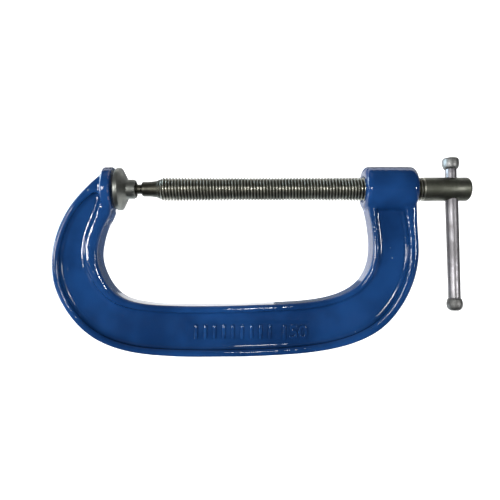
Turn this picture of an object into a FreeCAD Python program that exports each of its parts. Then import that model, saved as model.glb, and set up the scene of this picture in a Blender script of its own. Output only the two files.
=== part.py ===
import FreeCAD, Part
import os

# C clamp, 150 mm opening. X runs along the screw and is 0 on the anvil face.
# Y = 0 is the middle plane of the casting, and Z = 0 is the screw axis.

Vector = FreeCAD.Vector

os.makedirs("parts", exist_ok=True)
doc = FreeCAD.newDocument("c_clamp")

# ---------------------------------------------------------------- driving dimensions, mm

SIZES = {
    # cast frame
    "frame_width": 18.0,
    "web_thickness": 7.0,
    "recess_corner": 3.2,
    "web_cove": 2.6,
    "edge_round": 2.2,
    "recess_edge_round": 1.2,
    "pad_radius": 15.0,
    "pad_thick": 6.0,
    "pad_edge_round": 1.0,
    "boss_radius": 15.2,
    "boss_left": 169.8,
    "boss_right": 204.5,
    "boss_round": 4.0,
    "boss_bore_radius": 8.1,
    # spindle
    "ball_centre": 9.6,
    "ball_radius": 4.75,
    "neck_radius": 3.3,
    "neck_end": 18.6,
    "shank_start": 19.7,
    "shank_radius": 5.05,
    "shank_end": 25.0,
    "flare_middle": 28.8,
    "flare_middle_radius": 5.5,
    "thread_start": 31.9,
    "flare_radius": 6.6,
    "thread_lead_in": 1.3,
    "thread_radius": 8.0,
    "thread_pitch": 2.1167,
    "thread_depth": 1.25,
    "thread_end": 210.6,
    "head_end": 241.7,
    "head_chamfer": 1.1,
    # tommy bar, measured along the bar from the screw axis
    "bar_along_screw": 230.2,
    "bar_lean": -4.0,
    "bar_hole_radius": 4.4,
    "hole_countersink": 0.9,
    "bar_radius": 4.2,
    "bar_low_radius": 3.95,
    "bar_top_radius": 3.7,
    "bar_step": 5.5,
    "bar_knob_top": 21.4,
    "bar_knob_bottom": -82.2,
    "ball_end_radius": 5.1,
    "ball_end_half": 4.1,
    "collar_radius": 4.55,
    "collar_tall": 1.3,
    "spigot_radius": 2.5,
    "spigot_long": 6.2,
    "knob_radius": 5.45,
    "knob_tall": 7.7,
    "knob_flat_radius": 3.9,
    # swivel shoe
    "shoe_face": 2.1,
    "shoe_radius": 14.5,
    "shoe_rim": 3.0,
    "shoe_cone_end": 9.2,
    "socket_radius": 6.65,
    "socket_end": 15.1,
    "socket_chamfer": 0.7,
    "seat_play": 0.1,
    "socket_bore_radius": 4.9,
    "groove_radius": 5.85,
    "groove_start": 11.15,
    "groove_end": 13.85,
    # retaining ring
    "ring_start": 11.9,
    "ring_thick": 1.2,
    "ring_outer": 5.3,
    "ring_inner": 3.5,
    "ring_gap": 1.6,
}

sheet = doc.addObject("Spreadsheet::Sheet", "Sizes")
for row, (alias, value) in enumerate(SIZES.items(), start=1):
    sheet.set(f"A{row}", alias)
    sheet.set(f"B{row}", str(value))
    sheet.setAlias(f"B{row}", alias)
doc.recompute()


def size(alias):
    return float(sheet.get(alias))


def bind(obj, **formulas):
    """Tie properties to the sheet. A word in a formula that names a size means that cell."""
    for prop, formula in formulas.items():
        words = [f"Sizes.{word}" if word in SIZES else word for word in formula.split()]
        obj.setExpression(prop.replace("__", "."), " ".join(words))
    return obj


# ---------------------------------------------------------------- round pieces along the screw

ALONG_X = FreeCAD.Rotation(Vector(0, 1, 0), 90)


def rod(name, start, end, radius):
    """A cylinder on the screw axis from start to end."""
    piece = doc.addObject("Part::Cylinder", name)
    piece.Placement = FreeCAD.Placement(Vector(), ALONG_X)
    return bind(piece, Placement__Base__x=start, Height=f"{end} - ( {start} )", Radius=radius)


def taper(name, start, end, radius, end_radius):
    """A cone on the screw axis from start to end."""
    piece = doc.addObject("Part::Cone", name)
    piece.Placement = FreeCAD.Placement(Vector(), ALONG_X)
    bind(piece, Placement__Base__x=start, Height=f"{end} - ( {start} )")
    return bind(piece, Radius1=radius, Radius2=end_radius)


def ball(name, centre, radius):
    """A sphere on the screw axis."""
    return bind(doc.addObject("Part::Sphere", name), Placement__Base__x=centre, Radius=radius)


def fuse(name, pieces):
    joined = doc.addObject("Part::MultiFuse", name)
    joined.Shapes = pieces
    return joined


def cut(name, base, tool):
    left = doc.addObject("Part::Cut", name)
    left.Base = base
    left.Tool = tool
    return left


def finish(piece, label):
    piece.Label = label
    doc.recompute()
    return piece


# ---------------------------------------------------------------- frame

# Stations across the casting, from the anvil to the boss: its inner edge x, z, its outer edge x, z,
# and how far the web's recess stays from the inner and from the outer edge.
STATIONS = [
    (-0.5, -16.5, -3.6, 12.6, 0.0, 0.0),
    (-2.4, -20.5, -13.9, 3.2, 0.0, 0.0),
    (-4.9, -25.0, -25.2, -8.9, 8.7, 4.4),
    (-8.3, -35.5, -36.7, -31.2, 8.9, 4.2),
    (-9.5, -46.5, -39.8, -48.8, 8.4, 4.2),
    (-6.5, -57.5, -37.3, -67.0, 7.6, 4.2),
    (-1.4, -66.2, -29.5, -82.8, 6.6, 4.2),
    (6.4, -73.0, -13.6, -99.1, 5.4, 4.2),
    (17.0, -76.7, 4.5, -107.5, 4.4, 4.2),
    (36.0, -78.7, 36.0, -112.3, 4.2, 4.4),
    (70.0, -79.1, 70.0, -112.9, 4.2, 4.4),
    (108.0, -77.9, 108.0, -111.9, 4.2, 4.4),
    (134.0, -76.1, 139.0, -109.1, 4.0, 4.6),
    (151.0, -72.5, 162.0, -103.7, 3.8, 5.0),
    (163.9, -66.0, 180.0, -94.5, 3.6, 5.6),
    (171.1, -57.5, 193.3, -80.0, 3.8, 5.8),
    (174.8, -45.0, 203.2, -58.8, 4.2, 6.2),
    (174.5, -29.0, 205.5, -40.5, 4.2, 6.5),
    (172.4, -17.0, 204.6, -25.0, 4.6, 7.2),
    (170.8, -10.0, 204.2, -10.0, 6.0, 8.4),
    (170.6, -3.0, 203.8, -3.0, 0.0, 0.0),
]
# the recess's blunt tip behind the anvil: its inner and its outer side, x, z
RECESS_TIP = [(-7.0, -5.0), (-10.6, -2.0)]


def inner_edge():
    return [Vector(station[0], 0, station[1]) for station in STATIONS]


def outer_edge():
    return [Vector(station[2], 0, station[3]) for station in STATIONS]


def recess_sides():
    """The two long sides of the recess, from its tip to the boss."""
    inner = [Vector(RECESS_TIP[0][0], 0, RECESS_TIP[0][1])]
    outer = [Vector(RECESS_TIP[1][0], 0, RECESS_TIP[1][1])]
    for near, far, station in zip(inner_edge(), outer_edge(), STATIONS):
        if station[4]:
            across = (far - near).normalize()
            inner.append(near + across * station[4])
            outer.append(far - across * station[5])
    return inner, outer


def smooth(points):
    curve = Part.BSplineCurve()
    curve.interpolate(points)
    return curve


def on_plane(point):
    """A point of the X-Z plane in the sketch's own X-Y."""
    return Vector(point.x, point.z, 0)


def loop_of(first, second):
    """Two smooth sides that run the same way, closed by straight ends."""
    first = [on_plane(point) for point in first]
    second = [on_plane(point) for point in second]
    start = Part.LineSegment(second[0], first[0])
    end = Part.LineSegment(first[-1], second[-1])
    return [smooth(first), end, smooth(second[::-1]), start]


def sketch_in(body, name, plane, curves, lift=0.0):
    """A sketch on one of the body's own origin planes, with the given curves."""
    sketch = body.newObject("Sketcher::SketchObject", name)
    sketch.AttachmentSupport = [(origin_plane(body, plane), "")]
    sketch.MapMode = "FlatFace"
    sketch.AttachmentOffset = FreeCAD.Placement(Vector(0, 0, lift), FreeCAD.Rotation())
    for curve in curves:
        sketch.addGeometry(curve, False)
    return sketch


def origin_plane(body, role):
    return next(part for part in body.Origin.OriginFeatures if part.Role == role)


def make_blank(body):
    """The full-width C, before the web is sunk."""
    sketch = sketch_in(body, "c_outline", "XZ_Plane", loop_of(inner_edge(), outer_edge()))
    pad = body.newObject("PartDesign::Pad", "c_block")
    pad.Profile = sketch
    pad.Midplane = True
    bind(pad, Length="frame_width")
    doc.recompute()


def cut_recess(body, name, side):
    """Sink the web from one face: side is -1 for the front and 1 for the back."""
    sketch = sketch_in(body, f"{name}_outline", "XZ_Plane", loop_of(*recess_sides()))
    bind(sketch, AttachmentOffset__Base__z=f"{-side} * web_thickness / 2")
    pocket = body.newObject("PartDesign::Pocket", name)
    pocket.Profile = sketch
    pocket.Reversed = side < 0
    bind(pocket, Length="frame_width / 2")
    doc.recompute()


def rounded(body, name, radius, wanted):
    """Round the edges of the body's last feature that pass the test."""
    last = body.Tip
    edges = [f"Edge{n}" for n, edge in enumerate(last.Shape.Edges, start=1) if wanted(edge)]
    fillet = body.newObject("PartDesign::Fillet", name)
    fillet.Base = (last, edges)
    bind(fillet, Radius=radius)
    doc.recompute()


def lies_at(edge, y):
    """Whether both ends of an edge lie this far from the middle plane, on either side."""
    return all(abs(abs(vertex.Y) - y) < 0.001 for vertex in edge.Vertexes)


def bounds_recess(edge):
    """Whether an edge is a long side of the recess, and not the outline of the casting."""
    low = outer_edge()[10].z
    high = inner_edge()[10].z
    middle = edge.valueAt((edge.FirstParameter + edge.LastParameter) / 2)
    return low + 1 < middle.z < high - 1


def make_casting():
    """The C with its web sunk from both sides, and its edges rounded."""
    body = doc.addObject("PartDesign::Body", "casting")
    make_blank(body)
    cut_recess(body, "front_recess", -1)
    cut_recess(body, "back_recess", 1)
    half = size("frame_width") / 2
    web = size("web_thickness") / 2
    rounded(body, "recess_corners", "recess_corner", lambda edge: abs(edge.Length - half + web) < 0.001)
    rounded(body, "web_coves", "web_cove", lambda edge: lies_at(edge, web))
    rounded(body, "recess_rounds", "recess_edge_round",
            lambda edge: lies_at(edge, half) and edge.Length > 100 and bounds_recess(edge))
    rounded(body, "rim_rounds", "edge_round",
            lambda edge: lies_at(edge, half) and edge.Length > 100 and not bounds_recess(edge))
    return body


def rounded_rod(name, start, end, radius, edge_round):
    """A cylinder on the screw axis with both its rims rounded."""
    plain = rod(f"{name}_plain", start, end, radius)
    doc.recompute()
    fillet = doc.addObject("Part::Fillet", name)
    fillet.Base = plain
    rims = [n for n, edge in enumerate(plain.Shape.Edges, start=1) if edge.Closed]
    fillet.Edges = [(n, size(edge_round), size(edge_round)) for n in rims]
    return fillet


def make_frame():
    pad = rounded_rod("anvil_pad", "- pad_thick", "0", "pad_radius", "pad_edge_round")
    boss = rounded_rod("boss", "boss_left", "boss_right", "boss_radius", "boss_round")
    solid = fuse("frame_solid", [make_casting(), pad, boss])
    bore = rod("boss_bore", "boss_left - 5", "boss_right + 5", "boss_bore_radius")
    return finish(cut("frame", solid, bore), "frame")


# ---------------------------------------------------------------- spindle

def make_thread():
    """The threaded length, with a ring groove at each pitch in place of the helix."""
    first = size("thread_start") + size("thread_lead_in")
    crest = size("thread_radius")
    root = crest - size("thread_depth")
    pitch = size("thread_pitch")
    outline = [(first, 0.0), (first, crest)]
    for turn in range(int((size("thread_end") - first) / pitch)):
        middle = first + (turn + 0.5) * pitch
        outline += [(middle - 0.4 * pitch, crest), (middle, root), (middle + 0.4 * pitch, crest)]
    outline += [(size("thread_end"), crest), (size("thread_end"), 0.0), (first, 0.0)]
    profile = doc.addObject("Part::Polygon", "thread_profile")
    profile.Nodes = [Vector(x, 0, radius) for x, radius in outline]
    thread = doc.addObject("Part::Revolution", "thread")
    thread.Source = profile
    thread.Axis = Vector(1, 0, 0)
    thread.Angle = 360
    thread.Solid = True
    return thread


def turned_spindle():
    """The spindle as it leaves the lathe, before the cross hole."""
    lead = "thread_start + thread_lead_in"
    return fuse("turned_spindle", [
        ball("ball_end", "ball_centre", "ball_radius"),
        rod("neck", "ball_centre", "neck_end", "neck_radius"),
        taper("neck_chamfer", "neck_end", "shank_start", "neck_radius", "shank_radius"),
        rod("shank", "shank_start", "shank_end", "shank_radius"),
        taper("flare_start", "shank_end", "flare_middle", "shank_radius", "flare_middle_radius"),
        taper("flare", "flare_middle", "thread_start", "flare_middle_radius", "flare_radius"),
        taper("thread_chamfer", "thread_start", lead, "flare_radius", "thread_radius"),
        make_thread(),
        rod("head", "thread_end", "head_end - head_chamfer", "thread_radius"),
        taper("head_edge", "head_end - head_chamfer", "head_end", "thread_radius",
              "thread_radius - head_chamfer"),
    ])


def along_bar(piece):
    """Stand a piece, drawn along Z about the origin, on the bar's axis through the head."""
    lean = FreeCAD.Rotation(Vector(1, 0, 0), size("bar_lean"))
    own = piece.Placement
    piece.Placement = FreeCAD.Placement(Vector(size("bar_along_screw"), 0, 0), lean).multiply(own)
    return piece


def upright(kind, name, low, **formulas):
    """A primitive along Z with its base at a height."""
    piece = doc.addObject(kind, name)
    bind(piece, **formulas)
    piece.Placement.Base.z = low
    return piece


def make_cross_hole():
    """The hole for the bar, with both its mouths countersunk."""
    hole = size("bar_hole_radius")
    wide = hole + size("hole_countersink")
    mouth = size("thread_radius") + 0.2
    bore = upright("Part::Cylinder", "cross_bore", -20.0, Radius="bar_hole_radius", Height="40")
    top = upright("Part::Cone", "top_countersink", mouth - 1.6, Height="1.6")
    top.Radius1 = hole
    top.Radius2 = wide
    low = upright("Part::Cone", "low_countersink", -mouth, Height="1.6")
    low.Radius1 = wide
    low.Radius2 = hole
    return along_bar(fuse("cross_hole", [bore, top, low]))


def make_spindle():
    return finish(cut("spindle", turned_spindle(), make_cross_hole()), "spindle")


# ---------------------------------------------------------------- swivel shoe and its ring

def make_shoe():
    rim_end = "shoe_face + shoe_rim"
    solid = fuse("shoe_solid", [
        rod("shoe_disc", "shoe_face", rim_end, "shoe_radius"),
        taper("shoe_back", rim_end, "shoe_cone_end", "shoe_radius", "socket_radius"),
        rod("socket_wall", "shoe_cone_end", "socket_end - socket_chamfer", "socket_radius"),
        taper("socket_edge", "socket_end - socket_chamfer", "socket_end", "socket_radius",
              "socket_radius - socket_chamfer"),
    ])
    hollow = fuse("socket_hollow", [
        ball("ball_seat", "ball_centre", "ball_radius + seat_play"),
        rod("socket_bore", "ball_centre", "socket_end + 1", "socket_bore_radius"),
        rod("ring_groove", "groove_start", "groove_end", "groove_radius"),
    ])
    return finish(cut("swivel_shoe", solid, hollow), "swivel_shoe")


def make_ring():
    """A split ring that seats on the back of the ball."""
    end = "ring_start + ring_thick"
    blank = rod("ring_blank", "ring_start", end, "ring_outer")
    seat = ball("ring_seat", "ball_centre", "ball_radius + seat_play")
    bore = rod("ring_bore", "ring_start - 1", f"{end} + 1", "ring_inner")
    gap = doc.addObject("Part::Box", "ring_split")
    bind(gap, Length="3 * ring_thick", Width="ring_gap", Height="2 * ring_outer")
    bind(gap, Placement__Base__x="ring_start - ring_thick", Placement__Base__y="- ring_gap / 2")
    return finish(cut("retaining_ring", blank, fuse("ring_hollow", [seat, bore, gap])), "retaining_ring")


# ---------------------------------------------------------------- tommy bar and its knob

def make_bar():
    """The sliding bar with its solid ball end below and the knob's spigot above."""
    low = size("bar_knob_bottom") + size("ball_end_half")
    end_ball = upright("Part::Ellipsoid", "bar_ball", low, Radius1="ball_end_half",
                       Radius2="ball_end_radius", Radius3="ball_end_radius", Angle1="-90")
    collar_low = size("bar_knob_bottom") + 2 * size("ball_end_half") - 0.6
    collar = upright("Part::Cylinder", "bar_collar", collar_low, Radius="collar_radius",
                     Height="collar_tall")
    shaft = upright("Part::Cone", "bar_shaft", low, Radius1="bar_low_radius", Radius2="bar_radius",
                    Height="bar_step - bar_knob_bottom - ball_end_half")
    shoulder = size("bar_knob_top") - size("knob_tall")
    top = upright("Part::Cylinder", "bar_top", size("bar_step"), Radius="bar_top_radius",
                  Height="bar_knob_top - knob_tall - bar_step")
    spigot = upright("Part::Cylinder", "bar_spigot", shoulder, Radius="spigot_radius",
                     Height="spigot_long")
    bar = fuse("tommy_bar", [end_ball, collar, shaft, top, spigot])
    return finish(along_bar(bar), "tommy_bar")


def make_knob():
    """The barrel-shaped knob, with a blind bore pressed over the bar's spigot."""
    low = size("bar_knob_top") - size("knob_tall")
    lower = upright("Part::Cone", "knob_lower", low, Radius1="knob_flat_radius",
                    Radius2="knob_radius", Height="knob_tall * 0.28")
    waist = upright("Part::Cylinder", "knob_waist", low + 0.28 * size("knob_tall"),
                    Radius="knob_radius", Height="knob_tall * 0.34")
    upper = upright("Part::Cone", "knob_upper", low + 0.62 * size("knob_tall"),
                    Radius1="knob_radius", Radius2="knob_flat_radius", Height="knob_tall * 0.38")
    bore = upright("Part::Cylinder", "knob_bore", low, Radius="spigot_radius", Height="spigot_long")
    knob = cut("bar_end_knob", fuse("knob_solid", [lower, waist, upper]), bore)
    return finish(along_bar(knob), "bar_end_knob")


# ---------------------------------------------------------------- build, check and export

PIECES = [make_frame(), make_spindle(), make_shoe(), make_ring(), make_bar(), make_knob()]

for thing in doc.Objects:
    if "Invalid" in thing.State or "Error" in thing.State:
        raise RuntimeError(f"{thing.Name} is {thing.State}")

for piece in PIECES:
    if piece.Shape.isNull() or not piece.Shape.isValid() or len(piece.Shape.Solids) != 1:
        raise RuntimeError(f"{piece.Label} is not one sound solid")
    piece.Shape.exportStep(f"parts/{piece.Label}.step")
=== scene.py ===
import math

import bmesh
import bpy
import numpy as np
from mathutils import Matrix, Vector


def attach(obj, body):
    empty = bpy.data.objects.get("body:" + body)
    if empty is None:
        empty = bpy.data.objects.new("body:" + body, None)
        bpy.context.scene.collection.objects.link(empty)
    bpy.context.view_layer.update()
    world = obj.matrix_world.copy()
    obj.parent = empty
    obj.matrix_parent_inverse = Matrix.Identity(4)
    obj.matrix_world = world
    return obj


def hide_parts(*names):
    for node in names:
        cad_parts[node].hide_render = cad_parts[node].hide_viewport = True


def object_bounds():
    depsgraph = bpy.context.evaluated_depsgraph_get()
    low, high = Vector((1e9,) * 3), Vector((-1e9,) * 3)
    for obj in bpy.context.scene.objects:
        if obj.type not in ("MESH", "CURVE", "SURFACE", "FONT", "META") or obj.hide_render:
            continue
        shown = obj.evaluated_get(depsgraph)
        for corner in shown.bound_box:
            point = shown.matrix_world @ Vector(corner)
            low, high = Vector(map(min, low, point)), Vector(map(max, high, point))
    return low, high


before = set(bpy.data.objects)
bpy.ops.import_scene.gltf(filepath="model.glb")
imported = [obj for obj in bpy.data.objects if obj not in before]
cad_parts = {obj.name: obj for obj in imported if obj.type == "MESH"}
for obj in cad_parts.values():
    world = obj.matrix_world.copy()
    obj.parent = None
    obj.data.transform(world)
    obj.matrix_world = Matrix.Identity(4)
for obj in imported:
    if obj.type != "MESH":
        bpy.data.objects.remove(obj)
cad_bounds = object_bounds()

# A 150 mm C clamp. X runs along the screw from the anvil, Z is up and the photo looks along +Y.
# The screw axis is the X axis.

MM = 0.001
LOW = Vector(cad_bounds[0])
HIGH = Vector(cad_bounds[1])
TURN = 2.0 * math.pi
EYE = Vector((92.7, -328.3, -41.5)) * MM


# ---------------------------------------------------------------- shader helpers


class Nodes:
    """A material's node tree, with short calls for the nodes that the materials share."""

    def __init__(self, name):
        self.material = bpy.data.materials.new(name)
        self.material.use_nodes = True
        self.tree = self.material.node_tree
        self.tree.nodes.clear()
        self.shader = self.add("ShaderNodeBsdfPrincipled")
        output = self.add("ShaderNodeOutputMaterial")
        self.link(self.shader.outputs[0], output.inputs["Surface"])
        self.place = self.add("ShaderNodeTexCoord").outputs["Object"]

    def add(self, kind):
        return self.tree.nodes.new(kind)

    def link(self, source, target):
        self.tree.links.new(source, target)

    def put(self, socket, value):
        """A socket takes a number, a colour or another node's output."""
        if isinstance(value, bpy.types.NodeSocket):
            self.link(value, socket)
        else:
            socket.default_value = value

    def set(self, **values):
        """Set the shader's own sockets. An underscore in a name stands for a space."""
        for name, value in values.items():
            self.put(self.shader.inputs[name.replace("_", " ")], value)

    def noise(self, size, detail=3.0, stretch=(1.0, 1.0, 1.0)):
        """Noise whose features are about this size in metres, drawn out by stretch."""
        mapping = self.add("ShaderNodeMapping")
        self.link(self.place, mapping.inputs["Vector"])
        mapping.inputs["Scale"].default_value = [1.0 / (size * along) for along in stretch]
        texture = self.add("ShaderNodeTexNoise")
        texture.inputs["Scale"].default_value = 1.0
        texture.inputs["Detail"].default_value = detail
        texture.inputs["Roughness"].default_value = 0.55
        self.link(mapping.outputs["Vector"], texture.inputs["Vector"])
        return texture.outputs["Fac"]

    def spots(self, size):
        """Distance to the nearest of points scattered about this size in metres apart."""
        texture = self.add("ShaderNodeTexVoronoi")
        texture.inputs["Scale"].default_value = 1.0 / size
        self.link(self.place, texture.inputs["Vector"])
        return texture.outputs["Distance"]

    def math(self, operation, first, second=0.0):
        node = self.add("ShaderNodeMath")
        node.operation = operation
        self.put(node.inputs[0], first)
        self.put(node.inputs[1], second)
        return node.outputs[0]

    def ramp(self, value, low, high, out_low=0.0, out_high=1.0):
        """Spread a value smoothly from one range to another."""
        node = self.add("ShaderNodeMapRange")
        node.interpolation_type = "SMOOTHSTEP"
        for name, number in zip(("From Min", "From Max", "To Min", "To Max"), (low, high, out_low, out_high)):
            node.inputs[name].default_value = number
        self.put(node.inputs["Value"], value)
        return node.outputs["Result"]

    def mix(self, share, first, second):
        """Blend two colours, each a triple or another node's output."""
        node = self.add("ShaderNodeMix")
        node.data_type = "RGBA"
        self.put(node.inputs["Factor"], share)
        self.put(node.inputs["A"], first if isinstance(first, bpy.types.NodeSocket) else (*first, 1.0))
        self.put(node.inputs["B"], second if isinstance(second, bpy.types.NodeSocket) else (*second, 1.0))
        return node.outputs["Result"]

    def bump(self, height, distance, strength=1.0, over=None):
        """A normal raised by a height, laid over another normal if one is given."""
        node = self.add("ShaderNodeBump")
        node.inputs["Distance"].default_value = distance
        node.inputs["Strength"].default_value = strength
        self.put(node.inputs["Height"], height)
        if over is not None:
            self.link(over, node.inputs["Normal"])
        return node.outputs["Normal"]

    def radius_about_x(self):
        """How far a point lies from the screw axis, in metres."""
        parts = self.add("ShaderNodeSeparateXYZ")
        self.link(self.place, parts.inputs[0])
        y = self.math("POWER", parts.outputs["Y"], 2.0)
        z = self.math("POWER", parts.outputs["Z"], 2.0)
        return self.math("SQRT", self.math("ADD", y, z))

    def distance_from_middle(self):
        """How far a point lies from the casting's middle plane, in metres."""
        parts = self.add("ShaderNodeSeparateXYZ")
        self.link(self.place, parts.inputs[0])
        return self.math("ABSOLUTE", parts.outputs["Y"])

    def edges(self, low, high):
        """1 on sharp outer edges and 0 elsewhere."""
        return self.ramp(self.add("ShaderNodeNewGeometry").outputs["Pointiness"], low, high)


# ---------------------------------------------------------------- materials


def enamel(name, chips=False):
    """Thick blue enamel dipped over a rough casting: orange peel, sags, pinholes, and chips if asked."""
    n = Nodes(name)
    drift = n.noise(0.045, 3.0)
    blue = n.mix(n.ramp(drift, 0.35, 0.68), (0.0028, 0.018, 0.068), (0.006, 0.033, 0.115))
    thin = n.math("MULTIPLY", n.edges(0.53, 0.60), n.ramp(n.noise(0.006), 0.42, 0.62))
    blue = n.mix(n.math("MULTIPLY", thin, 0.35), blue, (0.012, 0.07, 0.22))
    pinholes = n.math("MULTIPLY", n.ramp(n.spots(0.0075), 0.035, 0.06, 1.0, 0.0), n.ramp(drift, 0.5, 0.56))
    blue = n.mix(n.math("MULTIPLY", pinholes, 0.5), blue, (0.13, 0.20, 0.30))
    sags = n.bump(n.noise(0.014, 2.0, stretch=(1.0, 1.0, 1.6)), 0.0006, 0.3)
    on_rims = n.ramp(n.distance_from_middle(), 0.0055, 0.0078, 0.35, 1.0)
    peel = n.bump(n.math("MULTIPLY", n.noise(0.0024, 2.0), on_rims), 0.00022, 0.6, over=sags)
    surface = n.bump(n.ramp(n.spots(0.0075), 0.03, 0.08), 0.0002, 0.3, over=peel)
    if chips:
        bare = n.math("MULTIPLY", n.edges(0.515, 0.56), n.ramp(n.noise(0.0035, 4.0), 0.47, 0.58))
        blue = n.mix(bare, blue, (0.26, 0.22, 0.27))
        surface = n.bump(bare, 0.00015, 0.8, over=surface)
        n.set(Metallic=n.math("MULTIPLY", bare, 0.8))
    n.set(Base_Color=blue, Roughness=0.4, Specular_IOR_Level=0.0)
    n.set(Coat_Weight=1.0, Coat_Roughness=0.03, Coat_IOR=1.36)
    n.set(Normal=surface, Coat_Normal=surface)
    return n.material


def turned_steel(name, light, dark, shine, root_darkening=None):
    """Turned steel with tool marks round it, a film of old oil, and colour that darkens towards the thread's
    roots.
    """
    n = Nodes(name)
    oil = n.ramp(n.noise(0.010, 4.0), 0.35, 0.66)
    colour = n.mix(oil, light, dark)
    tool = n.noise(0.00022, 2.0, stretch=(1.0, 40.0, 40.0))
    if root_darkening:
        # The colour darkens to near black towards the thread's roots, between the two radii given.
        depth = n.ramp(n.radius_about_x(), root_darkening[0], root_darkening[1], 1.0, 0.0)
        colour = n.mix(n.math("MULTIPLY", depth, 0.85), colour, (0.018, 0.017, 0.012))
    worn = n.edges(0.52, 0.60)
    colour = n.mix(n.math("MULTIPLY", worn, 0.5), colour, (0.62, 0.61, 0.56))
    n.set(Base_Color=colour, Metallic=1.0)
    n.set(Roughness=n.math("ADD", n.ramp(oil, 0.0, 1.0, shine, shine + 0.13), n.math("MULTIPLY", tool, 0.10)))
    fine = n.bump(tool, 0.00003, 0.45)
    n.set(Normal=n.bump(n.noise(0.0016, 3.0), 0.00004, 0.35, over=fine))
    return n.material


def bright_bar():
    """Drawn bar: streaks along its length, handling marks and a dull purple-grey film."""
    n = Nodes("drawn_bar")
    film = n.ramp(n.noise(0.016, 4.0), 0.34, 0.68)
    streaks = n.noise(0.00035, 3.0, stretch=(1.0, 1.0, 60.0))
    colour = n.mix(film, (0.22, 0.213, 0.225), (0.145, 0.14, 0.145))
    stains = n.ramp(n.noise(0.0045, 5.0), 0.60, 0.72)
    colour = n.mix(n.math("MULTIPLY", stains, 0.55), colour, (0.10, 0.09, 0.07))
    n.set(Base_Color=colour, Metallic=1.0)
    n.set(Roughness=n.math("ADD", n.ramp(film, 0.0, 1.0, 0.34, 0.46), n.math("MULTIPLY", streaks, 0.12)))
    fine = n.bump(streaks, 0.00004, 0.4)
    n.set(Normal=n.bump(n.noise(0.002, 3.0), 0.00006, 0.35, over=fine))
    return n.material


def floor_paper():
    """White paper that glows behind the clamp, as on a light table, and not in front of it."""
    n = Nodes("pale_floor")
    n.set(Base_Color=n.mix(n.noise(0.4), (0.86, 0.86, 0.86), (0.90, 0.90, 0.90)), Roughness=0.9)
    along = n.add("ShaderNodeSeparateXYZ")
    n.link(n.place, along.inputs[0])
    glow = n.ramp(along.outputs["Y"], -0.25, 0.2, 0.0, 0.42)
    n.set(Emission_Color=(1.0, 1.0, 1.0, 1.0), Emission_Strength=glow)
    n.set(Normal=n.bump(n.noise(0.002), 0.00002, 0.2))
    return n.material


# ---------------------------------------------------------------- mesh helpers


def new_object(name, mesh, material):
    """Put a mesh in the scene with one material, shaded smooth."""
    piece = bpy.data.objects.new(name, mesh)
    bpy.context.scene.collection.objects.link(piece)
    mesh.materials.clear()
    mesh.materials.append(material)
    for face in mesh.polygons:
        face.use_smooth = True
    return piece


def mesh_from(name, points, faces):
    mesh = bpy.data.meshes.new(name)
    mesh.from_pydata([tuple(point) for point in points], [], faces)
    mesh.validate()
    mesh.update()
    return mesh


def apply_modifiers(piece):
    """Leave the piece with the mesh its modifiers make."""
    graph = bpy.context.evaluated_depsgraph_get()
    made = bpy.data.meshes.new_from_object(piece.evaluated_get(graph))
    piece.modifiers.clear()
    old, piece.data = piece.data, made
    bpy.data.meshes.remove(old)


ARC_STEPS = 4


def rounded_profile(points, radius):
    """Cut a profile's corners with arcs. A point may bring its own radius as a third number."""
    out = []
    for k, point in enumerate(points):
        own = point[2] if len(point) > 2 else radius
        here = Vector(point[:2])
        if k in (0, len(points) - 1) or own <= 0.0:
            out.append(here)
            continue
        before = Vector(points[k - 1][:2]) - here
        after = Vector(points[k + 1][:2]) - here
        reach = min(own, 0.45 * before.length, 0.45 * after.length)
        start = here + before.normalized() * reach
        end = here + after.normalized() * reach
        for step in range(ARC_STEPS + 1):
            t = step / ARC_STEPS
            out.append(start * (1 - t) ** 2 + here * 2 * t * (1 - t) + end * t**2)
    return out


def turned(name, profile, sides=96, sweep=TURN, start=0.0):
    """Turn a profile of (along, radius) about the X axis. A radius of 0 closes the end."""
    full = abs(sweep - TURN) < 1e-9
    spokes = sides if full else sides + 1
    points, rings = [], []
    for along, radius in profile:
        if radius < 1e-9:
            rings.append([len(points)] * spokes)
            points.append((along, 0.0, 0.0))
            continue
        first = len(points)
        angles = [start + sweep * k / sides for k in range(spokes)]
        points += [(along, radius * math.sin(a), radius * math.cos(a)) for a in angles]
        rings.append(list(range(first, first + spokes)))
    faces = []
    for ring, after in zip(rings, rings[1:]):
        for k in range(sides):
            n = (k + 1) % spokes
            corners = [ring[k], ring[n], after[n], after[k]]
            unique = list(dict.fromkeys(corners))
            if len(unique) > 2:
                faces.append(unique)
    if not full:
        faces.append([ring[0] for ring in rings])
        faces.append([ring[-1] for ring in rings][::-1])
    return mesh_from(name, points, faces)


def cut_away(piece, tool_mesh):
    """Subtract a closed mesh from a piece."""
    tool = bpy.data.objects.new("tool", tool_mesh)
    bpy.context.scene.collection.objects.link(tool)
    boolean = piece.modifiers.new("cut", "BOOLEAN")
    boolean.operation = "DIFFERENCE"
    boolean.solver = "EXACT"
    boolean.object = tool
    apply_modifiers(piece)
    bpy.data.objects.remove(tool)


def smooth_below(piece, degrees):
    """Shade a piece smooth, apart from edges sharper than an angle."""
    limit = math.radians(degrees)
    work = bmesh.new()
    work.from_mesh(piece.data)
    bmesh.ops.recalc_face_normals(work, faces=work.faces)
    for edge in work.edges:
        edge.smooth = not edge.is_manifold or edge.calc_face_angle(0.0) < limit
    for face in work.faces:
        face.smooth = True
    work.to_mesh(piece.data)
    work.free()
    return piece


def coordinates(mesh):
    """A mesh's vertices as rows of x, y, z."""
    flat = np.empty(len(mesh.vertices) * 3)
    mesh.vertices.foreach_get("co", flat)
    return flat.reshape(-1, 3)


def write_coordinates(mesh, points):
    mesh.vertices.foreach_set("co", np.ascontiguousarray(points).ravel())
    mesh.update()


# ---------------------------------------------------------------- frame casting

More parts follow.
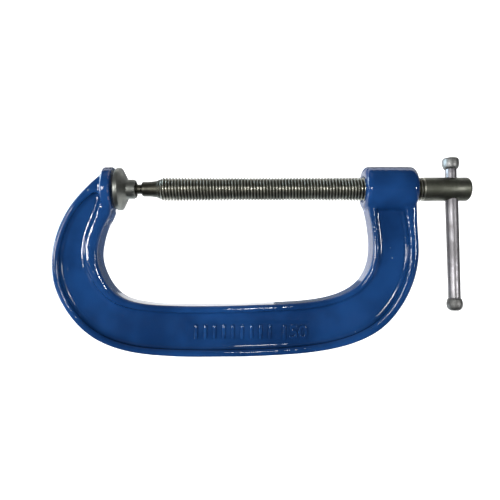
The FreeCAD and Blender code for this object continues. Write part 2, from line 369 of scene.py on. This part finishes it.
BOSS_BORE = 8.25 * MM
BOSS_LEFT = 169.8 * MM
BOSS_RIGHT = 204.5 * MM
WEB_FACE = -3.5 * MM
LABEL_LOW = -101.4 * MM
VOXEL = 0.5 * MM
SWELL = 0.2 * MM


def label_block(left, low, wide, tall, deep, corner=0.6 * MM):
    """A low block standing out of the front of the web, with its corners clipped."""
    work = bmesh.new()
    bmesh.ops.create_cube(work, size=1.0)
    size = Vector((wide, deep + 1.2 * MM, tall))
    middle = Vector((left + wide / 2, WEB_FACE - deep / 2 + 0.6 * MM, low + tall / 2))
    bmesh.ops.scale(work, vec=size, verts=work.verts)
    bmesh.ops.translate(work, vec=middle, verts=work.verts)
    bmesh.ops.bevel(work, geom=work.edges, offset=corner, segments=3, affect="EDGES", profile=0.5)
    mesh = bpy.data.meshes.new("label_block")
    work.to_mesh(mesh)
    work.free()
    return mesh


def label_numeral(text, left, low, tall, deep):
    """A raised numeral on the web's front."""
    curve = bpy.data.curves.new("numeral", "FONT")
    curve.body = text
    curve.size = tall / 0.70
    curve.extrude = deep
    curve.bevel_depth = 0.35 * MM
    curve.bevel_resolution = 2
    text_object = bpy.data.objects.new("numeral", curve)
    bpy.context.scene.collection.objects.link(text_object)
    bpy.context.view_layer.update()
    graph = bpy.context.evaluated_depsgraph_get()
    mesh = bpy.data.meshes.new_from_object(text_object.evaluated_get(graph))
    bpy.data.objects.remove(text_object)
    mesh.transform(Matrix.Rotation(math.pi / 2, 4, "X"))
    mesh.transform(Matrix.Translation((left, WEB_FACE, low)))
    return mesh


def label_panel():
    """The low panel that the foundry's label stands on."""
    return label_block(50 * MM, LABEL_LOW - 2.0 * MM, 82 * MM, 13.4 * MM, 0.25 * MM)


def label_marks():
    """Plain bars in place of a name, and the clamp's opening in millimetres."""
    marks = []
    for bar in range(9):
        left = (55.2 + 6.2 * bar) * MM
        marks.append(label_block(left, LABEL_LOW, 2.2 * MM, 9.8 * MM, 2.1 * MM, 0.9 * MM))
    marks.append(label_numeral("150", 112.5 * MM, LABEL_LOW + 0.4 * MM, 8.8 * MM, 1.7 * MM))
    return marks


def join_meshes(name, meshes):
    """One mesh from several, each left where it is."""
    work = bmesh.new()
    for mesh in meshes:
        work.from_mesh(mesh)
    joined = bpy.data.meshes.new(name)
    work.to_mesh(joined)
    work.free()
    return joined


def open_bore(points):
    """Press the vertices of the boss's bore onto a true bore with a chamfer at each mouth."""
    x, y, z = points.T
    radius = np.hypot(y, z)
    inside = (x > BOSS_LEFT - 1 * MM) & (x < BOSS_RIGHT + 1 * MM) & (radius < BOSS_BORE + 1.1 * MM)
    depth = np.minimum(x - BOSS_LEFT, BOSS_RIGHT - x)
    wanted = BOSS_BORE + np.clip(0.9 * MM - depth, 0.0, 0.9 * MM)
    moved = inside & (radius < wanted)
    share = np.where(moved, wanted / np.maximum(radius, 1e-9), 1.0)
    return np.column_stack([x, y * share, z * share])


def enamel_relief(points, normals):
    """Slow sags and lumps of the dipped coat, as sums of sines along slanted directions."""
    rng = np.random.default_rng(41)
    height = np.zeros(len(points))
    for wave in (34 * MM, 21 * MM, 13 * MM, 8.5 * MM, 5.5 * MM):
        for _ in range(3):
            direction = rng.normal(size=3)
            direction /= np.linalg.norm(direction)
            phase = rng.uniform(0, TURN)
            height += np.sin(points @ direction * (TURN / wave) + phase) * wave * 0.0005
    return points + normals * (height + SWELL)[:, None]


def distance_to_path(points, path):
    """How far points lie from a path of (x, z) corners, looking along Y."""
    flat = points[:, [0, 2]]
    nearest = np.full(len(points), np.inf)
    for start, end in zip(path, path[1:]):
        start, run = np.array(start) * MM, (np.array(end) - np.array(start)) * MM
        share = np.clip((flat - start) @ run / (run @ run), 0.0, 1.0)
        nearest = np.minimum(nearest, np.linalg.norm(flat - start - share[:, None] * run, axis=1))
    return nearest


def near_path(points, path, reach):
    """1 near a path and 0 beyond its reach in millimetres."""
    return np.clip(1.6 - 1.6 * distance_to_path(points, path) / (reach * MM), 0.0, 1.0)


def on_rims(points):
    """1 on the crests of the front and back rims and 0 on the web, the boss and the pad."""
    _, y, z = points.T
    on_crest = np.clip((np.abs(y) - 7.4 * MM) / (0.8 * MM), 0.0, 1.0)
    below_boss = np.clip((-16 * MM - z) / (3 * MM), 0.0, 1.0)
    return on_crest * below_boss


def melt(piece, weight, rounds, only_y=False):
    """Soften a piece where the weight asks for it."""
    group = piece.vertex_groups.new(name="melt")
    for index in np.flatnonzero(weight > 0.0):
        group.add([int(index)], float(weight[index]), "REPLACE")
    soften = piece.modifiers.new("melt", "SMOOTH")
    soften.factor = 0.5
    soften.iterations = rounds
    soften.vertex_group = group.name
    soften.use_x = soften.use_z = not only_y
    apply_modifiers(piece)
    piece.vertex_groups.clear()


# Where the casting's edges are melted: a path of x, z in millimetres, its reach, and how many rounds.
# The lower left corner's inner rim, where the boss joins the arm, and where the anvil pad does.
SOFT_PLACES = [
    ([(-15.5, -56.0), (-8.0, -69.5), (2.0, -77.0), (11.0, -80.0)], 6.5, 70),
    ([(176.0, -13.0), (187.0, -15.0), (199.0, -13.0)], 6.5, 40),
    ([(-7.0, 6.0), (-6.5, -10.0), (-2.0, -16.0)], 5.5, 40),
]


def cast_body(source):
    """The casting with its panel, its edges softened all over and melted where the real one's are."""
    mesh = join_meshes("casting", [source, label_panel()])
    piece = new_object("casting", mesh, bpy.data.materials.new("unused"))
    remesh = piece.modifiers.new("remesh", "REMESH")
    remesh.mode = "VOXEL"
    remesh.voxel_size = VOXEL
    soften = piece.modifiers.new("soften", "SMOOTH")
    soften.factor = 0.5
    soften.iterations = 6
    apply_modifiers(piece)
    points = coordinates(piece.data)
    melt(piece, on_rims(points), 60, only_y=True)
    for path, reach, rounds in SOFT_PLACES:
        melt(piece, near_path(points, path, reach), rounds)
    points = coordinates(piece.data)
    normals = np.empty(len(points) * 3)
    piece.data.vertex_normals.foreach_get("vector", normals)
    points = enamel_relief(points, normals.reshape(-1, 3))
    write_coordinates(piece.data, open_bore(points))
    return piece


def make_casting():
    """The casting with its raised marks, bare chips showing only on the anvil pad."""
    piece = cast_body(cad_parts["frame"].data.copy())
    mesh = join_meshes("casting_mesh", [piece.data, *label_marks()])
    for material in (enamel("blue_enamel"), enamel("chipped_enamel", chips=True)):
        mesh.materials.append(material)
    piece.data = mesh
    mesh.polygons.foreach_set("use_smooth", [True] * len(mesh.polygons))
    for face in mesh.polygons:
        on_pad = -6.5 * MM < face.center.x < 5 * MM and math.hypot(face.center.y, face.center.z) < 16 * MM
        face.material_index = int(on_pad)
    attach(piece, "frame")
    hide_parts("frame")


# ---------------------------------------------------------------- spindle

PITCH = 2.1167 * MM
THREAD_START = 31.9 * MM
THREAD_END = 210.6 * MM
CREST = 8.0 * MM
ROOT = 6.75 * MM
HEAD_END = 241.7 * MM
SIDES = 96
BAR_X = 230.2 * MM
BAR_LEAN = math.radians(-4.0)
BAR_MATRIX = Matrix.Translation((BAR_X, 0, 0)) @ Matrix.Rotation(BAR_LEAN, 4, "X")


def thread_radius(along, angle):
    """The thread's surface: a right-hand groove that fades in and out over the last turns."""
    turns = along / PITCH - angle / TURN
    saw = np.abs(2.0 * (turns - np.floor(turns)) - 1.0)
    flank = np.clip((saw - 0.14) / 0.72, 0.0, 1.0)
    lead_in = np.clip((along - THREAD_START) / (1.6 * MM), 0.0, 1.0)
    run_out = np.clip((THREAD_END - along) / (1.4 * MM), 0.0, 1.0)
    crest = (6.6 * MM) + (CREST - 6.6 * MM) * lead_in
    root = CREST - (CREST - ROOT) * run_out
    return np.minimum(root + (CREST - root) * flank, crest)


def make_thread():
    """The threaded length as a grid, open at both ends."""
    rows = int((THREAD_END - THREAD_START) / PITCH * 12)
    along = np.linspace(THREAD_START, THREAD_END, rows + 1)
    angle = np.arange(SIDES) * TURN / SIDES
    grid_x, grid_a = np.meshgrid(along, angle, indexing="ij")
    radius = thread_radius(grid_x, grid_a)
    points = np.stack([grid_x, radius * np.sin(-grid_a), radius * np.cos(grid_a)], axis=-1).reshape(-1, 3)
    faces = []
    for row in range(rows):
        for k in range(SIDES):
            n = (k + 1) % SIDES
            faces.append([row * SIDES + k, row * SIDES + n, (row + 1) * SIDES + n, (row + 1) * SIDES + k])
    return points, faces


def make_spindle_ends():
    """The turned neck and ball at one end and the drilled head at the other, each open at the thread."""
    front = rounded_profile([
        (4.85, 0.0), (4.95, 1.2), (5.6, 2.6), (6.9, 3.9), (9.6, 4.7), (11.6, 4.3), (12.6, 3.6), (13.2, 3.3),
        (18.6, 3.25, 0.5), (19.7, 5.0, 0.4), (25.0, 5.05, 3.0), (29.6, 5.75, 2.5), (31.2, 6.6, 0.35),
        (31.9, 6.6),
    ], 0.4)
    back = rounded_profile([
        (210.6, 8.0), (240.5, 8.0, 0.5), (241.7, 6.9, 0.4), (241.7, 2.4, 0.15), (241.2, 1.2, 0.2),
        (240.9, 0.0),
    ], 0.3)
    neck = turned("neck", [(x * MM, r * MM) for x, r in front], SIDES)
    head = turned("head", [(x * MM, r * MM) for x, r in back], SIDES)
    return neck, drilled_head(head)


def drilled_head(mesh):
    """Drill the cross hole for the bar, with worn countersinks."""
    piece = new_object("head", mesh, bpy.data.materials.new("unused"))
    fill_holes(piece.data)
    below = [(-14.0, 0.0), (-14.0, 6.3), (-8.0, 6.3), (-5.0, 4.45)]
    above = [(6.5, 4.45), (8.3, 5.6), (14.0, 5.6), (14.0, 0.0)]
    hole = below + above
    drill = turned("drill", [(x * MM, r * MM) for x, r in hole], 64)
    drill.transform(BAR_MATRIX @ Matrix.Rotation(-math.pi / 2, 4, "Y"))
    cut_away(piece, drill)
    made = piece.data
    bpy.data.objects.remove(piece)
    return made


def fill_holes(mesh):
    """Close a mesh's open ends, so that it can be cut."""
    work = bmesh.new()
    work.from_mesh(mesh)
    bmesh.ops.holes_fill(work, edges=[edge for edge in work.edges if edge.is_boundary])
    bmesh.ops.recalc_face_normals(work, faces=work.faces)
    work.to_mesh(mesh)
    work.free()


def is_joint_cap(face, along):
    """Whether a face is the flat end that closes the head where the thread joins it."""
    return face.normal.x < -0.99 and abs(face.calc_center_median().x - along) < 1e-5 and len(face.verts) > 8


def make_spindle():
    """The screw in one mesh: ball and neck, thread, and drilled head."""
    neck, head = make_spindle_ends()
    points, faces = make_thread()
    mesh = join_meshes("spindle_mesh", [neck, mesh_from("thread", points, faces), head])
    work = bmesh.new()
    work.from_mesh(mesh)
    work.faces.ensure_lookup_table()
    caps = [face for face in work.faces if is_joint_cap(face, THREAD_END)]
    bmesh.ops.delete(work, geom=caps, context="FACES_ONLY")
    bmesh.ops.remove_doubles(work, verts=work.verts, dist=0.02 * MM)
    bmesh.ops.recalc_face_normals(work, faces=work.faces)
    work.to_mesh(mesh)
    work.free()
    # The thread's colour darkens towards its roots, between these two radii.
    thread_steel = turned_steel("screw_steel", (0.32, 0.315, 0.27), (0.20, 0.20, 0.165), 0.28,
                                root_darkening=(6.7 * MM, 7.55 * MM))
    piece = smooth_below(new_object("screw_spindle", mesh, thread_steel), 38)
    mesh.materials.append(turned_steel("head_steel", (0.115, 0.118, 0.098), (0.075, 0.078, 0.062), 0.36))
    for face in mesh.polygons:
        face.material_index = int(face.center.x > THREAD_END)
    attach(piece, "spindle")
    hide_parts("spindle")


# ---------------------------------------------------------------- swivel shoe and its ring


def make_shoe():
    """The shoe and its socket, turned from bar, with the socket's mouth crimped in six places."""
    profile = rounded_profile([
        (2.1, 0.0), (2.1, 13.7, 0.2), (2.9, 14.5, 0.4), (5.0, 14.5, 0.35), (5.6, 13.9, 0.4), (9.0, 7.6, 1.1),
        (9.5, 6.6, 0.5), (13.6, 6.65, 0.4), (14.9, 5.9, 0.3), (15.1, 5.3, 0.15), (14.8, 4.9, 0.15),
        (13.85, 4.9, 0.1), (13.85, 5.85, 0.1), (11.15, 5.85, 0.1), (11.15, 4.9, 0.1), (9.6, 4.9, 0.1),
        (7.0, 4.1, 1.0), (5.2, 2.2, 1.0), (4.75, 0.0),
    ], 0.2)
    mesh = turned("shoe", [(x * MM, r * MM) for x, r in profile], 120)
    points = coordinates(mesh)
    x, y, z = points.T
    radius = np.hypot(y, z)
    crimp = MM * np.clip(np.cos(6 * np.arctan2(y, z)) - 0.72, 0, 1)
    outside = (x > 12.9 * MM) & (radius > 5.2 * MM) & (radius < 7.0 * MM)
    pressed = crimp * np.clip((x - 12.9 * MM) / (1.2 * MM), 0, 1)
    share = np.where(outside, 1.0 - pressed / np.maximum(radius, 1e-9), 1.0)
    write_coordinates(mesh, np.column_stack([x, y * share, z * share]))
    steel = turned_steel("shoe_steel", (0.18, 0.185, 0.168), (0.115, 0.12, 0.11), 0.33)
    piece = smooth_below(new_object("shoe", mesh, steel), 35)
    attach(piece, "swivel_shoe")
    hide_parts("swivel_shoe")


def make_ring():
    """The split ring, a rounded section swept most of the way round."""
    section = rounded_profile([
        (12.5, 3.55), (12.95, 3.55, 0.15), (13.1, 3.7, 0.1), (13.1, 5.1, 0.2), (12.9, 5.3, 0.2),
        (12.1, 5.3, 0.2), (11.9, 5.1, 0.2), (11.9, 4.3, 0.15), (12.5, 3.55),
    ], 0.15)
    split = 20.0
    mesh = turned("ring", [(x * MM, r * MM) for x, r in section], 72,
                  math.radians(360.0 - split), math.radians(split / 2))
    steel = turned_steel("spring_steel", (0.20, 0.20, 0.20), (0.10, 0.10, 0.10), 0.30)
    piece = smooth_below(new_object("split_ring", mesh, steel), 35)
    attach(piece, "screw_carrier")
    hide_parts("retaining_ring")


# ---------------------------------------------------------------- tommy bar and its knob


def along_bar(mesh):
    """Stand a piece, turned about X, on the bar's axis through the head."""
    mesh.transform(BAR_MATRIX @ Matrix.Rotation(-math.pi / 2, 4, "Y"))
    return mesh


def make_bar():
    """The sliding bar: a ball on its lower end, and a thinner spigot for the knob on its upper end."""
    profile = rounded_profile([
        (-82.4, 0.0), (-82.4, 2.6, 0.8), (-80.9, 4.7, 1.4), (-77.9, 5.35, 1.6), (-75.2, 4.75, 1.0),
        (-74.3, 4.25, 0.3), (-74.0, 3.9, 0.15), (-73.4, 3.95, 0.15), (-9.0, 4.2, 0.1),
        (5.3, 4.2, 0.2), (5.7, 3.7, 0.2), (13.7, 3.7, 0.2), (13.7, 2.5, 0.1), (19.9, 2.5, 0.2), (19.9, 0.0),
    ], 0.2)
    fine = densified(profile, 6.0)
    mesh = turned("bar", [(x * MM, r * MM) for x, r in fine], 72)
    piece = new_object("sliding_bar", along_bar(mesh), BAR_STEEL)
    smooth_below(piece, 35)
    piece.data.materials.append(KNOB_STEEL)
    for face in piece.data.polygons:
        face.material_index = int(face.center.z < -74.2 * MM)
    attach(piece, "tommy_bar")
    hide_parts("tommy_bar")


def densified(profile, longest):
    """Split a profile's long runs, so that its mesh has no long thin faces."""
    out = [profile[0]]
    for before, after in zip(profile, profile[1:]):
        parts = max(1, math.ceil((after - before).length / longest))
        out += [before.lerp(after, step / parts) for step in range(1, parts + 1)]
    return out


def make_knob():
    """The knob pressed over the bar's spigot."""
    profile = rounded_profile([
        (13.7, 2.55), (13.7, 3.9, 0.3), (14.6, 4.9, 0.6), (17.2, 5.55, 1.4), (20.3, 5.35, 0.9),
        (21.3, 4.7, 0.5), (21.4, 0.8, 0.1), (21.2, 0.0),
    ], 0.3)
    bore = [(19.9, 0.0), (19.9, 2.55)]
    shape = [(x * MM, r * MM) for x, r in [*bore, *profile]]
    piece = new_object("pressed_knob", along_bar(turned("knob", shape, 72)), KNOB_STEEL)
    smooth_below(piece, 35)
    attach(piece, "tommy_bar")
    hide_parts("bar_end_knob")


# ---------------------------------------------------------------- floor, lights and camera

# how far below the clamp the floor lies
DROP = 220 * MM


def make_floor():
    """A pale sheet that runs back below the clamp and curves up behind it."""
    far, wide, bend, tall = 2.4, 4.0, 0.9, 2.6
    runs = [(-2.5, 0.0), (far - bend, 0.0)]
    for a in np.radians(np.arange(6, 91, 6)):
        runs.append((far - bend + bend * math.sin(a), bend - bend * math.cos(a)))
    runs.append((far, tall))
    points = [(side * wide + LOW.x, y, z + LOW.z - DROP) for y, z in runs for side in (-1, 1)]
    faces = [[2 * k, 2 * k + 1, 2 * k + 3, 2 * k + 2] for k in range(len(runs) - 1)]
    new_object("floor", mesh_from("floor", points, faces), floor_paper())


def make_card(name, corners, shade):
    """A card that only reflections see, as a photographer's black flag."""
    n = Nodes(name)
    n.set(Base_Color=(shade, shade * 1.05, shade * 1.12, 1.0), Roughness=0.9)
    card = new_object(name, mesh_from(name, corners, [list(range(len(corners)))]), n.material)
    card.visible_camera = card.visible_shadow = card.visible_diffuse = False


def make_flags():
    """The left arm's inside mirrors the grey card behind; round undersides mirror the dark one below."""
    outline = [(0.18, -0.28), (0.38, -0.28), (0.38, 0.60), (-0.10, 0.60), (-0.02, 0.22), (0.14, 0.10)]
    make_card("grey_card", [(x, 0.9, z) for x, z in outline], 0.17)
    outline = [(-0.6, -1.2), (0.8, -1.2), (0.8, 0.08), (-0.6, 0.08)]
    make_card("dark_card", [(x, y, -0.30) for x, y in outline], 0.03)


def area_light(name, place, aim, size, power, colour=(1.0, 1.0, 1.0)):
    light = bpy.data.lights.new(name, "AREA")
    light.shape = "RECTANGLE"
    light.size, light.size_y = size
    light.energy = power
    light.color = colour
    lamp = bpy.data.objects.new(name, light)
    lamp.location = place
    lamp.rotation_euler = (Vector(aim) - Vector(place)).to_track_quat("-Z", "Y").to_euler()
    bpy.context.scene.collection.objects.link(lamp)


def make_lights(middle):
    """A bright room behind, a dark one in front, and small lamps in front that glint on the enamel."""
    backdrop = middle + Vector((0.0, 2.3, 0.5))
    area_light("overhead", middle + Vector((0.0, 1.0, 1.9)), backdrop, (4.2, 2.0), 66.0)
    sky_blue = (0.66, 0.86, 1.0)
    area_light("left", middle + Vector((-1.0, 0.25, 0.25)), middle, (0.5, 0.9), 21.0, sky_blue)
    area_light("top", middle + Vector((-0.2, -0.3, 1.0)), middle, (0.6, 0.5), 0.5)
    area_light("near_window", middle + Vector((-0.62, -0.94, 0.06)), middle, (0.12, 0.20), 8.0)
    area_light("far_window", middle + Vector((-1.05, -0.45, 0.06)), middle, (0.16, 0.20), 4.0)
    area_light("right", middle + Vector((0.78, -0.95, 0.06)), middle, (0.08, 0.20), 6.5)
    area_light("lamp", EYE + Vector((0.0, -0.02, 0.055)), middle, (0.06, 0.02), 0.50)
    world = bpy.context.scene.world or bpy.data.worlds.new("studio")
    bpy.context.scene.world = world
    world.use_nodes = True
    background = world.node_tree.nodes["Background"]
    background.inputs["Color"].default_value = (1.0, 1.0, 1.0, 1.0)
    background.inputs["Strength"].default_value = 0.07


def make_camera():
    """Straight on and level, level with the middle of the throat and 328 mm in front of the screw."""
    camera = bpy.data.cameras.new("camera")
    camera.lens = 34.6
    camera.sensor_width = 36.0
    camera.clip_start = 0.01
    seat = bpy.data.objects.new("camera", camera)
    seat.location = EYE
    seat.rotation_euler = (math.pi / 2, 0, 0)
    bpy.context.scene.collection.objects.link(seat)
    bpy.context.scene.camera = seat


make_camera()
make_floor()
make_flags()
make_lights((LOW + HIGH) / 2)
BAR_STEEL = bright_bar()
KNOB_STEEL = turned_steel("knob_steel", (0.20, 0.20, 0.195), (0.135, 0.135, 0.13), 0.42)
make_casting()
make_spindle()
make_shoe()
make_ring()
make_bar()
make_knob()
bpy.context.scene.view_settings.view_transform = "Standard"
